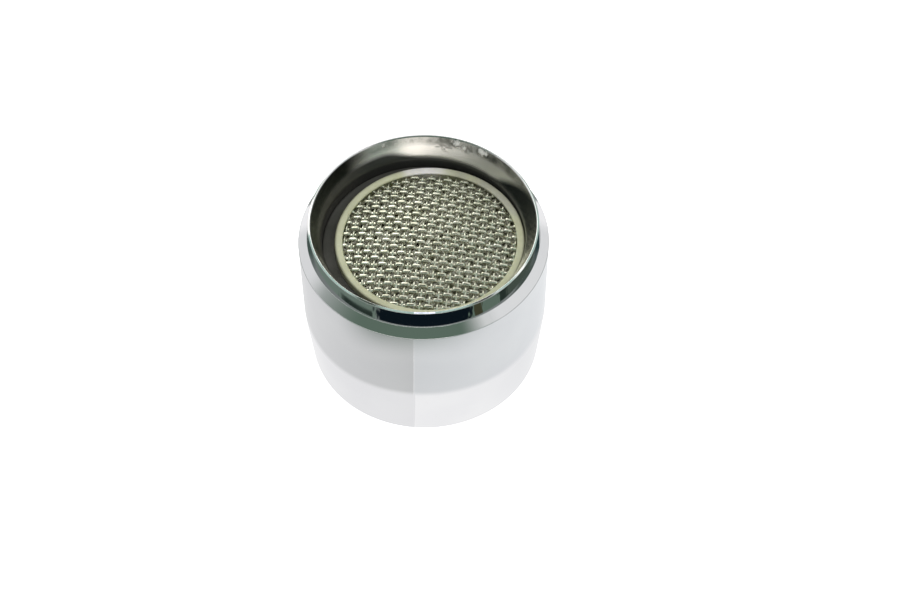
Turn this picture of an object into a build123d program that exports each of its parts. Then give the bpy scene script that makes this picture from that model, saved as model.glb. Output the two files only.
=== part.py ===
from build123d import *
import os

# Tap aerator for a male M22 x 1 spout, standing on its inlet end with the outlet up.
# A chromed housing holds a plastic insert with woven screens. Millimetres, +Z up, inlet edge at z = 0.

# Thread in the inlet, an ISO fine thread
thread_radius = 11.0
thread_pitch = 1.0
thread_length = 5.2
thread_depth_share = 0.5413

# Fits between the insert and the housing
pass_clearance = 0.04
contact_gap = 0.03
side_play = 0.58
lug_bearing = 0.11
relief_gap = 0.2
washer_gap = 0.15

# Housing walls and edges
thread_wall = 1.0
inlet_edge_wall = 0.5
mouth_chamfer = 0.15
inlet_taper_height = 6.0
collar_height = 1.9
shoulder_width = 0.87
shoulder_drop = 0.7
collar_lean = 0.17
rim_thickness = 0.28
rim_bevel = 0.12
flare_depth = 2.2
recess_depth = 2.86

# Insert sleeve
barrel_length = 4.5
nose_length = 2.19
nose_wall = 0.44
barrel_step = 0.45
ring_width = 0.75
sleeve_lip = 0.27
lug_count = 6
lug_width = 2.6
lug_height = 1.2
notch_width = 3.0
notch_height = 1.5

# Screens, each one wire over another
wire_thickness = 0.25
screen_names = ["outlet_screen", "middle_screen", "inner_screen"]
screen_turns = [-5.0, 40.0, 17.0]
mesh_pitches = [1.6, 3.2, 3.2]

# Distance ring, jet disc, strainer and washer
distance_wall = 0.65
jet_flange = 1.0
jet_boss_height = 0.5
jet_slot_length = 1.6
jet_slot_width = 0.7
jet_ring_radii = [3.2, 6.2]
jet_ring_counts = [6, 12]
strainer_thickness = 0.5
strainer_slot = 1.2
strainer_bar = 0.7
strainer_rim = 0.6
washer_thickness = 2.0
washer_inner_radius = 8.2

# Radii, worked inwards from the thread that every insert piece has to pass
thread_minor_radius = thread_radius - thread_depth_share * thread_pitch
lug_radius = thread_minor_radius - pass_clearance
lip_radius = lug_radius - side_play - lug_bearing
nose_radius = lip_radius - side_play - contact_gap
pocket_radius = nose_radius - nose_wall
opening_radius = nose_radius - ring_width
barrel_radius = nose_radius + barrel_step
screen_radius = pocket_radius - contact_gap
distance_inner_radius = screen_radius - distance_wall
jet_boss_radius = distance_inner_radius - contact_gap
relief_radius = lug_radius + side_play + relief_gap
washer_radius = relief_radius - washer_gap
strainer_field_radius = washer_inner_radius - side_play - strainer_rim

# Outside radii of the housing
body_radius = thread_radius + thread_wall
inlet_radius = thread_radius + inlet_edge_wall
collar_foot_radius = body_radius - shoulder_width
rim_outer_radius = collar_foot_radius - collar_lean
rim_inner_radius = rim_outer_radius - rim_thickness
crest_radius = (rim_outer_radius + rim_inner_radius) / 2

# Levels, stacked up from the inlet edge
washer_level = thread_length
strainer_level = washer_level + washer_thickness
jet_level = strainer_level + strainer_thickness
sleeve_level = jet_level + jet_flange
seat_level = sleeve_level + barrel_length
nose_level = seat_level + nose_length
crest_level = nose_level + recess_depth
collar_foot_level = crest_level - collar_height
shoulder_level = collar_foot_level - shoulder_drop
bevel_level = crest_level - rim_bevel
flare_level = crest_level - flare_depth
pocket_level = nose_level - sleeve_lip
screen_thickness = 2 * wire_thickness
screen_stack = len(screen_names) * screen_thickness
distance_top_level = pocket_level - screen_stack

# The insert lies against one side of the outlet opening, so it has an axis of its own
insert_axis = Axis((side_play, 0, 0), (0, 0, 1))
insert_section = Plane((side_play, 0, 0), x_dir=(1, 0, 0), z_dir=(0, -1, 0))
insert_base = Plane((side_play, 0, 0))
notch_turn = 180 / lug_count

os.makedirs("parts", exist_ok=True)

# Housing, turned as one piece
with BuildPart() as housing:
    with BuildSketch(Plane.XZ):
        with BuildLine():
            Polyline(
                (thread_radius + mouth_chamfer, 0),
                (inlet_radius, 0),
                (body_radius, inlet_taper_height),
                (body_radius, shoulder_level),
                (collar_foot_radius, collar_foot_level),
                (rim_outer_radius, bevel_level),
                (crest_radius, crest_level),
                (rim_inner_radius, bevel_level),
                (lip_radius, flare_level),
                (lip_radius, seat_level),
                (relief_radius, seat_level),
                (relief_radius, washer_level),
                (thread_radius, washer_level),
                (thread_radius, mouth_chamfer),
                close=True,
            )
        make_face()
    revolve(axis=Axis.Z)

# Sleeve of the insert, with lugs under the housing's seat and notches that let the air in
with BuildPart() as insert_sleeve:
    with BuildSketch(insert_section):
        with BuildLine():
            Polyline(
                (pocket_radius, sleeve_level),
                (barrel_radius, sleeve_level),
                (barrel_radius, seat_level),
                (nose_radius, seat_level),
                (nose_radius, nose_level),
                (opening_radius, nose_level),
                (opening_radius, pocket_level),
                (pocket_radius, pocket_level),
                close=True,
            )
        make_face()
    revolve(axis=insert_axis)
    with BuildSketch(insert_base.offset(seat_level - lug_height)):
        with PolarLocations(lug_radius, lug_count):
            Rectangle(lug_radius, lug_width)
        Circle(lug_radius, mode=Mode.INTERSECT)
        Circle(nose_radius, mode=Mode.SUBTRACT)
    extrude(amount=lug_height)
    with BuildSketch(insert_base.offset(sleeve_level)):
        with PolarLocations(barrel_radius, lug_count, start_angle=notch_turn):
            Rectangle(barrel_radius, notch_width)
    extrude(amount=notch_height, mode=Mode.SUBTRACT)

# Woven screens: bars across bars, stacked down from the sleeve's lip
screens = []
for index, name in enumerate(screen_names):
    with BuildPart() as screen:
        foot_level = pocket_level - (index + 1) * screen_thickness
        weave_plane = insert_base.offset(foot_level).rotated((0, 0, screen_turns[index]))
        mesh_pitch = mesh_pitches[index]
        wire_count = int(2 * screen_radius / mesh_pitch)
        with BuildSketch(weave_plane):
            with GridLocations(mesh_pitch, mesh_pitch, wire_count, 1):
                Rectangle(wire_thickness, 2 * screen_radius)
            Circle(screen_radius, mode=Mode.INTERSECT)
        extrude(amount=wire_thickness)
        with BuildSketch(weave_plane.offset(wire_thickness)):
            with GridLocations(mesh_pitch, mesh_pitch, 1, wire_count):
                Rectangle(2 * screen_radius, wire_thickness)
            Circle(screen_radius, mode=Mode.INTERSECT)
        extrude(amount=wire_thickness)
    screen.part.label = name
    screens.append(screen.part)

# Distance ring that stands on the jet disc and holds the screens up
with BuildPart() as distance_ring:
    with BuildSketch(insert_base.offset(sleeve_level)):
        Circle(screen_radius)
        Circle(distance_inner_radius, mode=Mode.SUBTRACT)
    extrude(amount=distance_top_level - sleeve_level)
    with BuildSketch(insert_base.offset(sleeve_level)):
        with PolarLocations(screen_radius, lug_count, start_angle=notch_turn):
            Rectangle(screen_radius, notch_width)
    extrude(amount=notch_height, mode=Mode.SUBTRACT)

# Jet disc, with a flange under the sleeve and a slotted boss inside the distance ring
with BuildPart() as jet_disc:
    with BuildSketch(insert_base.offset(jet_level)):
        Circle(lug_radius)
    extrude(amount=jet_flange)
    with BuildSketch(insert_base.offset(sleeve_level)):
        Circle(jet_boss_radius)
    extrude(amount=jet_boss_height)
    with BuildSketch(insert_base.offset(jet_level)):
        for ring_radius, slot_count in zip(jet_ring_radii, jet_ring_counts):
            with PolarLocations(ring_radius, slot_count):
                Rectangle(jet_slot_length, jet_slot_width)
    extrude(amount=jet_flange + jet_boss_height, mode=Mode.SUBTRACT)

# Strainer, a slotted plate between the washer and the jet disc
with BuildPart() as inlet_strainer:
    with BuildSketch(insert_base.offset(strainer_level)):
        Circle(lug_radius)
    extrude(amount=strainer_thickness)
    slot_pitch = strainer_slot + strainer_bar
    strainer_slot_count = int(2 * strainer_field_radius / slot_pitch)
    with BuildSketch(insert_base.offset(strainer_level)):
        with GridLocations(slot_pitch, slot_pitch, strainer_slot_count, 1):
            Rectangle(strainer_slot, 2 * strainer_field_radius)
        Circle(strainer_field_radius, mode=Mode.INTERSECT)
        Rectangle(2 * strainer_field_radius, strainer_bar, mode=Mode.SUBTRACT)
    extrude(amount=strainer_thickness, mode=Mode.SUBTRACT)

# Flat rubber washer at the end of the thread
with BuildPart() as sealing_washer:
    with BuildSketch(Plane.XY.offset(washer_level)):
        Circle(washer_radius)
        Circle(washer_inner_radius, mode=Mode.SUBTRACT)
    extrude(amount=washer_thickness)

housing.part.label = "housing"
insert_sleeve.part.label = "insert_sleeve"
distance_ring.part.label = "distance_ring"
jet_disc.part.label = "jet_disc"
inlet_strainer.part.label = "inlet_strainer"
sealing_washer.part.label = "sealing_washer"

turned_and_moulded = [housing, insert_sleeve, distance_ring, jet_disc, inlet_strainer, sealing_washer]
for piece in [builder.part for builder in turned_and_moulded] + screens:
    export_step(piece, f"parts/{piece.label}.step")
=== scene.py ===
"""Tap aerator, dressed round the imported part: it stands on its inlet with the outlet up."""

import logging
import math
from dataclasses import dataclass
from enum import Enum
from functools import cache

import bpy
import numpy as np
from mathutils import Matrix, Vector


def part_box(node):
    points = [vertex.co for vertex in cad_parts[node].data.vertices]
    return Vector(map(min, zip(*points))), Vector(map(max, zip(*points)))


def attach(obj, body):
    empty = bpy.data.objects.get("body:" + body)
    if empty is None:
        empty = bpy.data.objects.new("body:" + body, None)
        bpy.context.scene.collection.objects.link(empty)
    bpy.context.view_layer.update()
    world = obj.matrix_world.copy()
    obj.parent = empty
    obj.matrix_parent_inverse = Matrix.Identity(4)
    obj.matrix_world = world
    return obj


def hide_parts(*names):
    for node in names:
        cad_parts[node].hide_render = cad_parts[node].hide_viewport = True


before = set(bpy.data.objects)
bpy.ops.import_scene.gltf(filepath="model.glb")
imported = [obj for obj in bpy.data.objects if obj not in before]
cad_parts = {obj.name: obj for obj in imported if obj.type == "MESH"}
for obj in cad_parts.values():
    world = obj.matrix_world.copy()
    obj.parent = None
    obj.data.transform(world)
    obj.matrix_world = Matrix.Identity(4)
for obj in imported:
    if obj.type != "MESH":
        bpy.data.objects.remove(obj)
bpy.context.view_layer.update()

Colour = tuple[float, float, float]
Point = tuple[float, float, float]
Span = tuple[float, float]
Spot = tuple[float, float, float, float]
Socket = bpy.types.NodeSocket

MM = 0.001
BODY = "root"
WHITE: Colour = (1.0, 1.0, 1.0)
log = logging.getLogger("tap_aerator")


class Slot(Enum):
    """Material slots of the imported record."""

    CHROME = "chrome_plate"
    CREAM = "cream_plastic"
    WIRE = "stainless_wire"
    WHITE = "white_plastic"
    RUBBER = "black_rubber"


class Strand(Enum):
    """The two sets of wires in a plain weave."""

    WARP = "warp"
    WEFT = "weft"


class CardPlace(Enum):
    """Where a studio card is set up."""

    SKY = "sky"
    TABLE = "table"


class Sheet:
    """Places and joins the nodes of one node tree.

    The Mix node has its colours under these numbers, since other kinds of value share their names.
    """

    MIX_FACTOR = 0
    MIX_FIRST = 6
    MIX_SECOND = 7
    MIX_RESULT = 2

    def __init__(self, tree: bpy.types.NodeTree) -> None:
        """Keeps the tree that the nodes go into."""
        self.tree = tree

    def add(self, kind: str, values: dict | None = None, **settings: object) -> bpy.types.Node:
        """Adds one node.

        Args:
            kind: Node type without its ShaderNode prefix.
            values: Inputs by name or number, each a constant or a socket to join.
            settings: Attributes of the node, such as its operation.

        Returns:
            The new node.
        """
        node = self.tree.nodes.new("ShaderNode" + kind)
        for name, setting in settings.items():
            setattr(node, name, setting)
        for key, value in (values or {}).items():
            if isinstance(value, Socket):
                self.tree.links.new(value, node.inputs[key])
            else:
                node.inputs[key].default_value = value
        return node

    def feed(self, node: bpy.types.Node, sockets: dict[str, Socket]) -> None:
        """Joins sockets to the named inputs of a node."""
        for name, socket in sockets.items():
            self.tree.links.new(socket, node.inputs[name])

    def group(self, effect: bpy.types.NodeTree, **values: object) -> Socket:
        """Places a shared effect.

        Args:
            effect: Node group of the effect.
            values: Its inputs by name.

        Returns:
            The effect's result.
        """
        node = self.tree.nodes.new("ShaderNodeGroup")
        node.node_tree = effect
        for name, value in values.items():
            node.inputs[name].default_value = value
        return node.outputs[0]

    def maths(self, operation: str, *terms: object) -> Socket:
        """Joins sockets or numbers by one Math node."""
        return self.add("Math", dict(enumerate(terms)), operation=operation).outputs[0]

    def ramp(self, value: Socket, source: Span, target: Span = (0.0, 1.0)) -> Socket:
        """Maps a value smoothly from one range to another.

        Args:
            value: Socket to map.
            source: Range of the value, which may run downwards.
            target: Range of the result.

        Returns:
            The result's socket.
        """
        limits = {"Value": value, "From Min": source[0], "From Max": source[1]}
        limits |= {"To Min": target[0], "To Max": target[1]}
        return self.add("MapRange", limits, interpolation_type="SMOOTHSTEP").outputs["Result"]

    def band(self, length: Socket, limits: Span, full: float = 1.0) -> Socket:
        """Masks a length, from 0 at the first limit in millimetres to full at the second."""
        return self.ramp(length, (limits[0] * MM, limits[1] * MM), (0.0, full))

    def blend(self, factor: object, first: object, second: object) -> Socket:
        """Mixes two colours, of which the second has the factor as its share."""
        values = {self.MIX_FACTOR: factor, self.MIX_FIRST: first, self.MIX_SECOND: second}
        return self.add("Mix", values, data_type="RGBA").outputs[self.MIX_RESULT]

    def position(self) -> Socket:
        """Gives the place on the object itself."""
        return self.add("TexCoord").outputs["Object"]

    def noise(self, vector: Socket, scale: object, detail: float) -> Socket:
        """Gives a soft noise at a place."""
        return self.add("TexNoise", {"Vector": vector, "Scale": scale, "Detail": detail}).outputs["Fac"]

    def radius(self, spot: bpy.types.Node) -> Socket:
        """Measures from the Z axis to a place that a node splits into its coordinates."""
        flat = self.add("CombineXYZ", {"X": spot.outputs["X"], "Y": spot.outputs["Y"]})
        return self.add("VectorMath", {0: flat.outputs[0]}, operation="LENGTH").outputs["Value"]


def opaque(colour: Colour) -> tuple[float, float, float, float]:
    """Gives a colour its alpha of 1."""
    return (*colour, 1.0)


def new_effect(name: str, inputs: dict[str, str], output: str,
               kind: str) -> tuple[Sheet, dict[str, Socket], bpy.types.Node]:
    """Starts a shared effect as a shader node group.

    Args:
        name: Name of the group.
        inputs: Input names with their socket kinds.
        output: Name of the result.
        kind: Socket kind of the result.

    Returns:
        The sheet to build on, the input sockets by name and the node that takes the result.
    """
    tree = bpy.data.node_groups.new(name, "ShaderNodeTree")
    for label, input_kind in inputs.items():
        tree.interface.new_socket(name=label, in_out="INPUT", socket_type="NodeSocket" + input_kind)
    tree.interface.new_socket(name=output, in_out="OUTPUT", socket_type="NodeSocket" + kind)
    entry = tree.nodes.new("NodeGroupInput")
    leave = tree.nodes.new("NodeGroupOutput")
    return Sheet(tree), {label: entry.outputs[label] for label in inputs}, leave


@cache
def tint_drift() -> bpy.types.NodeTree:
    """Builds the colour that drifts between two tints in soft patches.

    Returns:
        The node group.
    """
    inputs = {"Tint": "Color", "Shade": "Color", "Scale": "Float"}
    sheet, given, leave = new_effect("tint_drift", inputs, "Color", "Color")
    patches = sheet.noise(sheet.position(), given["Scale"], detail=3.0)
    share = sheet.ramp(patches, source=(0.32, 0.68))
    sheet.feed(leave, {"Color": sheet.blend(share, given["Tint"], given["Shade"])})
    return sheet.tree


@cache
def surface_film() -> bpy.types.NodeTree:
    """Builds the value that a thin film of handling or lime changes in patches.

    Returns:
        The node group.
    """
    inputs = {"Clean": "Float", "Dull": "Float", "Scale": "Float"}
    sheet, given, leave = new_effect("surface_film", inputs, "Value", "Float")
    patches = sheet.noise(sheet.position(), given["Scale"], detail=5.0)
    share = sheet.ramp(patches, source=(0.4, 0.72))
    extra = sheet.maths("SUBTRACT", given["Dull"], given["Clean"])
    sheet.feed(leave, {"Value": sheet.maths("MULTIPLY_ADD", share, extra, given["Clean"])})
    return sheet.tree


@cache
def fine_grain() -> bpy.types.NodeTree:
    """Builds the height of a fine moulded or polished grain.

    Returns:
        The node group.
    """
    sheet, given, leave = new_effect("fine_grain", {"Scale": "Float"}, "Height", "Float")
    sheet.feed(leave, {"Height": sheet.noise(sheet.position(), given["Scale"], detail=4.0)})
    return sheet.tree


@cache
def ragged_spot() -> bpy.types.NodeTree:
    """Builds the mask of one spot with a ragged outline.

    Returns:
        The node group.
    """
    unevenness, outline = 1.8, 1.75
    inputs = {"Centre": "Vector", "Reach": "Float", "Scale": "Float", "Soft": "Float"}
    sheet, given, leave = new_effect("ragged_spot", inputs, "Mask", "Float")
    spot = sheet.position()
    away = sheet.add("VectorMath", {0: spot, 1: given["Centre"]}, operation="DISTANCE")
    share = sheet.maths("DIVIDE", away.outputs["Value"], given["Reach"])
    noise = sheet.noise(spot, given["Scale"], detail=2.0)
    uneven = sheet.maths("MULTIPLY_ADD", noise, unevenness, share)
    inner = sheet.maths("SUBTRACT", outline, given["Soft"])
    sheet.feed(leave, {"Mask": sheet.ramp(uneven, (outline, inner))})
    return sheet.tree


def tinted(sheet: Sheet, tint: Colour, shade: Colour, scale: float) -> Socket:
    """Places the drift between two tints."""
    return sheet.group(tint_drift(), Tint=opaque(tint), Shade=opaque(shade), Scale=scale)


def filmed(sheet: Sheet, limits: Span, scale: float) -> Socket:
    """Places the film between its clean value and its dull one."""
    return sheet.group(surface_film(), Clean=limits[0], Dull=limits[1], Scale=scale)


def spot_mask(sheet: Sheet, spot: Spot, scale: float, softness: float) -> Socket:
    """Masks one ragged spot.

    Args:
        sheet: Node sheet of the material.
        spot: Its centre and its reach in millimetres.
        scale: Fineness of its ragged outline.
        softness: Width of its edge as a share of the reach.

    Returns:
        The mask's socket.
    """
    x, y, z, reach = (length * MM for length in spot)
    return sheet.group(ragged_spot(), Centre=(x, y, z), Reach=reach, Scale=scale, Soft=softness)


def new_finish(slot: Slot) -> tuple[bpy.types.Material, Sheet, bpy.types.Node]:
    """Starts a finish of the part.

    Args:
        slot: Material slot that gives it its name.

    Returns:
        The material, its node sheet and its shader.
    """
    material = bpy.data.materials.new(slot.value)
    material.use_nodes = True
    return material, Sheet(material.node_tree), material.node_tree.nodes["Principled BSDF"]


def new_paper(name: str) -> tuple[bpy.types.Material, Sheet]:
    """Starts a material of the studio with no nodes.

    Args:
        name: Name of the material.

    Returns:
        The material and its node sheet.
    """
    material = bpy.data.materials.new(name)
    material.use_nodes = True
    material.node_tree.nodes.clear()
    return material, Sheet(material.node_tree)


@dataclass(frozen=True)
class RecessMasks:
    """Masks that tell the parts of the outlet recess from each other."""

    recess: Socket
    flare: Socket
    rim: Socket
    # Where the flare keeps its metal without painted shade.
    bright: Socket
    inward: Socket
    right: Socket


@dataclass(frozen=True)
class ChromePlate:
    """Bright chrome over turned brass, with lime spots inside the rim and painted shade on the sides and the
    bore of its recess.

    Bands, levels and spots are in millimetres. The pairs of bore shade, side shade and rim share are for the
    left and the right.
    """

    slot: Slot = Slot.CHROME
    tint: Colour = (0.85, 0.85, 0.86)
    shade: Colour = (0.82, 0.82, 0.835)
    tint_scale: float = 160.0
    gloss: Span = (0.02, 0.05)
    film_scale: float = 420.0
    polish_scale: float = 5200.0
    polish_depth: float = 0.0004
    flare: Colour = (0.91, 0.88, 0.85)
    # Painted shade: dark tones for the flare's left and right sides, and for the bore below them, where the
    # recess lies in shade.
    side_shade: tuple[Colour, Colour] = ((0.024, 0.027, 0.024), (0.018, 0.022, 0.023))
    bore_shade: tuple[Colour, Colour] = ((0.072, 0.071, 0.062), (0.05, 0.052, 0.048))
    bore_dust: float = 0.55
    flare_dust: float = 0.08
    recess_dull: float = 0.21
    recess_band: Span = (10.78, 10.66)
    recess_floor: float = 13.1
    bore_band: Span = (15.95, 16.5)
    bore_rise: float = 0.75
    bore_rise_band: Span = (0.0, -4.0)
    # Bands that place the painted shade on the flare's sides.
    left_band: Span = (-7.6, -5.0)
    right_band: Span = (9.3, 8.2)
    right_lean: float = 1.6
    right_level: float = 17.2
    front_band: Span = (-2.5, -4.5)
    side_band: Span = (-3.0, 3.0)
    # Darker metal in mottled patches towards the rim, more so on the right.
    rim_darkening: Colour = (0.12, 0.12, 0.105)
    rim_band: Span = (17.1, 17.75)
    rim_share: Span = (0.7, 1.0)
    rim_patches: Span = (0.5, 1.0)
    rim_patch_scale: float = 700.0
    lime: Colour = (0.95, 0.94, 0.90)
    lime_dull: float = 0.2
    lime_cover: float = 0.7
    lime_height: float = 120.0
    lime_spots: tuple[Spot, ...] = (
        (3.45, 9.97, 17.80, 0.65),
        (4.05, 9.60, 17.62, 0.32),
        (5.90, 8.75, 17.85, 0.58),
        (3.50, 10.05, 18.15, 0.30),
        (6.25, 8.50, 17.80, 0.32),
        (-3.75, 9.86, 17.85, 0.25),
    )
    stains: tuple[Spot, ...] = (
        (1.95, 10.22, 17.62, 1.0),
        (2.65, 10.08, 17.58, 0.9),
        (4.60, 9.40, 17.70, 0.95),
    )
    stain_share: float = 0.75
    spot_scale: float = 3200.0
    spot_softness: float = 0.7

    def make(self) -> bpy.types.Material:
        """Builds the material.

        Returns:
            The material.
        """
        material, sheet, shader = new_finish(self.slot)
        drift = tinted(sheet, self.tint, self.shade, self.tint_scale)
        film = filmed(sheet, self.gloss, self.film_scale)
        masks = self._recess(sheet)
        limed = self._spotted(sheet, self.lime_spots, masks.recess)
        inside = sheet.blend(masks.flare, self._bore_shade(sheet, masks), self._flare(sheet, masks))
        plate = sheet.blend(masks.recess, drift, inside)
        dull = sheet.maths("MULTIPLY_ADD", masks.recess, self.recess_dull, film)
        dust = sheet.maths("MULTIPLY_ADD", masks.flare, self.flare_dust - self.bore_dust, self.bore_dust)
        metal = sheet.maths("SUBTRACT", 1.0, sheet.maths("MULTIPLY", masks.recess, dust))
        polish = sheet.group(fine_grain(), Scale=self.polish_scale)
        height = sheet.maths("MULTIPLY_ADD", limed, self.lime_height, polish)
        bump = sheet.add("Bump", {"Height": height, "Distance": self.polish_depth * MM})
        sheet.feed(shader, {
            "Base Color": sheet.blend(limed, plate, opaque(self.lime)),
            "Roughness": sheet.maths("MULTIPLY_ADD", limed, self.lime_dull, dull),
            "Metallic": sheet.maths("MULTIPLY_ADD", limed, -self.lime_cover, metal),
            "Normal": bump.outputs["Normal"],
        })
        return material

    def _bore_shade(self, sheet: Sheet, masks: RecessMasks) -> Socket:
        """Gives the bore under the flare its dark tones, painted shade that is lighter at the far left."""
        return sheet.blend(masks.inward, opaque(self.bore_shade[0]), opaque(self.bore_shade[1]))

    def _flare(self, sheet: Sheet, masks: RecessMasks) -> Socket:
        """Gives the flare its metal, painted shade on its far left and far right sides, and a rim darkened
        in mottled patches and by stains.

        Args:
            sheet: Node sheet of the material.
            masks: Parts of the recess.

        Returns:
            The colour's socket.
        """
        low, high = self.rim_share
        patchy = filmed(sheet, self.rim_patches, self.rim_patch_scale)
        patchy = sheet.maths("MULTIPLY", patchy, sheet.maths("MULTIPLY_ADD", masks.right, high - low, low))
        stained = sheet.maths("MULTIPLY", self._spotted(sheet, self.stains, masks.recess), self.stain_share)
        dim = sheet.maths("MAXIMUM", sheet.maths("MULTIPLY", masks.rim, patchy), stained)
        metal = sheet.blend(dim, opaque(self.flare), opaque(self.rim_darkening))
        # Painted shade on the flare's far left and far right; the unshaded mask keeps its middle and its
        # front.
        side_shade = sheet.blend(masks.right, opaque(self.side_shade[0]), opaque(self.side_shade[1]))
        return sheet.blend(masks.bright, side_shade, metal)

    def _spotted(self, sheet: Sheet, spots: tuple[Spot, ...], recess: Socket) -> Socket:
        """Masks ragged spots inside the rim.

        Args:
            sheet: Node sheet of the material.
            spots: Centre and reach of each spot.
            recess: Mask of the recess.

        Returns:
            The mask's socket.
        """
        spotted, *others = (spot_mask(sheet, spot, self.spot_scale, self.spot_softness) for spot in spots)
        for mask in others:
            spotted = sheet.maths("MAXIMUM", spotted, mask)
        return sheet.maths("MULTIPLY", spotted, recess)

    def _recess(self, sheet: Sheet) -> RecessMasks:
        """Masks the outlet recess by radius, height and side.

        Args:
            sheet: Node sheet of the material.

        Returns:
            The masks of its parts.
        """
        spot = sheet.add("SeparateXYZ", {0: sheet.position()})
        side, depth, level = spot.outputs["X"], spot.outputs["Y"], spot.outputs["Z"]
        within = sheet.band(sheet.radius(spot), self.recess_band)
        above = sheet.maths("GREATER_THAN", level, self.recess_floor * MM)
        rise = sheet.band(side, self.bore_rise_band, self.bore_rise * MM)
        sunk = sheet.maths("SUBTRACT", level, rise)
        risen = sheet.maths("SUBTRACT", level, self.right_level * MM)
        leaning = sheet.maths("MULTIPLY_ADD", risen, -self.right_lean, side)
        inward = sheet.band(side, self.left_band)
        between = sheet.maths("MULTIPLY", inward, sheet.band(leaning, self.right_band))
        return RecessMasks(
            recess=sheet.maths("MULTIPLY", within, above),
            flare=sheet.band(sunk, self.bore_band),
            rim=sheet.band(level, self.rim_band),
            # The unshaded part is the middle and the front of the flare; the rest of it gets painted shade.
            bright=sheet.maths("MAXIMUM", between, sheet.band(depth, self.front_band)),
            inward=inward,
            right=sheet.band(side, self.side_band),
        )


@dataclass(frozen=True)
class Moulding:
    """Moulded plastic, rubber or the dark gap fill with a fine grain, and lengths in millimetres. Painted
    shade and painted highlight patches are laid on where given.
    """

    slot: Slot
    tint: Colour
    shade: Colour
    gloss: Span
    grain_scale: float
    grain_depth: float
    tint_scale: float = 330.0
    film_scale: float = 700.0
    glow: float = 0.0
    glow_tint: Colour = (1.0, 0.8, 0.5)
    glow_depth: float = 0.6
    # Painted shade: a dark, duller colour deep in the gap and, fainter, on the ring's outer edge.
    gap_shade: Colour | None = None
    shade_axis: Point = (0.58, 0.0, 0.0)
    shade_radius: Span = (9.0, 9.1)
    shade_level: Span = (15.0, 14.3)
    shade_dull: float = 0.65
    edge_radius: Span = (8.84, 9.08)
    edge_shade: float = 0.48
    # Painted light: patches of painted highlight and painted shade, each with its tone and spot.
    light_and_shade_patches: tuple[tuple[Colour, Spot], ...] = ()
    patch_scale: float = 300.0
    patch_softness: float = 0.85

    def make(self) -> bpy.types.Material:
        """Builds the material.

        Returns:
            The material.
        """
        material, sheet, shader = new_finish(self.slot)
        shader.inputs["Subsurface Weight"].default_value = self.glow
        shader.inputs["Subsurface Radius"].default_value = self.glow_tint
        shader.inputs["Subsurface Scale"].default_value = self.glow_depth * MM
        colour = tinted(sheet, self.tint, self.shade, self.tint_scale)
        rough = filmed(sheet, self.gloss, self.film_scale)
        grain = sheet.group(fine_grain(), Scale=self.grain_scale)
        bump = sheet.add("Bump", {"Height": grain, "Distance": self.grain_depth * MM})
        # Painted shade darkens and dulls the gap and the outer edge.
        if self.gap_shade:
            shaded = self._shaded_gap(sheet)
            colour = sheet.blend(shaded, colour, opaque(self.gap_shade))
            rough = sheet.maths("MULTIPLY_ADD", shaded, self.shade_dull, rough)
        # Each patch lays a painted highlight or painted shade over the colour.
        for tone, spot in self.light_and_shade_patches:
            patch = spot_mask(sheet, spot, self.patch_scale, self.patch_softness)
            colour = sheet.blend(patch, colour, opaque(tone))
        sheet.feed(shader, {"Base Color": colour, "Roughness": rough, "Normal": bump.outputs["Normal"]})
        return material

    def _shaded_gap(self, sheet: Sheet) -> Socket:
        """Masks painted shade on the outside that sits deep in the gap, and faintly on the edge over it.

        Args:
            sheet: Node sheet of the material.

        Returns:
            The mask's socket.
        """
        axis = tuple(length * MM for length in self.shade_axis)
        offset = sheet.add("VectorMath", {0: sheet.position(), 1: axis}, operation="SUBTRACT")
        spot = sheet.add("SeparateXYZ", {0: offset.outputs["Vector"]})
        radius = sheet.radius(spot)
        outside = sheet.band(radius, self.shade_radius)
        deep = sheet.band(spot.outputs["Z"], self.shade_level)
        edge = sheet.band(radius, self.edge_radius, self.edge_shade)
        return sheet.maths("MAXIMUM", sheet.maths("MULTIPLY", outside, deep), edge)


@dataclass(frozen=True)
class DrawnWire:
    """Stainless wire with fine lines along it, lightly limed."""

    slot: Slot = Slot.WIRE
    tint: Colour = (0.82, 0.81, 0.70)
    shade: Colour = (0.62, 0.62, 0.49)
    tint_scale: float = 1500.0
    gloss: Span = (0.14, 0.28)
    film_scale: float = 2600.0
    metal: Span = (0.90, 0.72)
    lime_scale: float = 1100.0
    lines_around: float = 18.0
    lines_along: float = 1.2
    line_strength: float = 0.3
    line_depth: float = 0.01

    def make(self) -> bpy.types.Material:
        """Builds the material.

        Returns:
            The material.
        """
        material, sheet, shader = new_finish(self.slot)
        stretch = (self.lines_along, self.lines_around, 1.0)
        drawn = sheet.add("Mapping", {"Vector": sheet.add("UVMap").outputs["UV"], "Scale": stretch})
        lines = sheet.noise(drawn.outputs["Vector"], 1.0, detail=2.0)
        depth = {"Strength": self.line_strength, "Distance": self.line_depth * MM}
        bump = sheet.add("Bump", {"Height": lines} | depth)
        sheet.feed(shader, {
            "Base Color": tinted(sheet, self.tint, self.shade, self.tint_scale),
            "Roughness": filmed(sheet, self.gloss, self.film_scale),
            "Metallic": filmed(sheet, self.metal, self.lime_scale),
            "Normal": bump.outputs["Normal"],
        })
        return material


def mapped_mesh(name: str, points: np.ndarray, faces: list[list[int]], shares: np.ndarray) -> bpy.types.Mesh:
    """Makes a mesh with one UV layer.

    Args:
        name: Name of the mesh.
        points: Points in millimetres.
        faces: Numbers of each face's points.
        shares: UV values by point.

    Returns:
        The new mesh.
    """
    mesh = bpy.data.meshes.new(name)
    mesh.from_pydata((points * MM).tolist(), [], faces)
    corners = np.zeros(len(mesh.loops), np.int32)
    mesh.loops.foreach_get("vertex_index", corners)
    mesh.uv_layers.new(name="run").data.foreach_set("uv", shares[corners].astype(np.float32).ravel())
    mesh.update()
    return mesh


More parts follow.
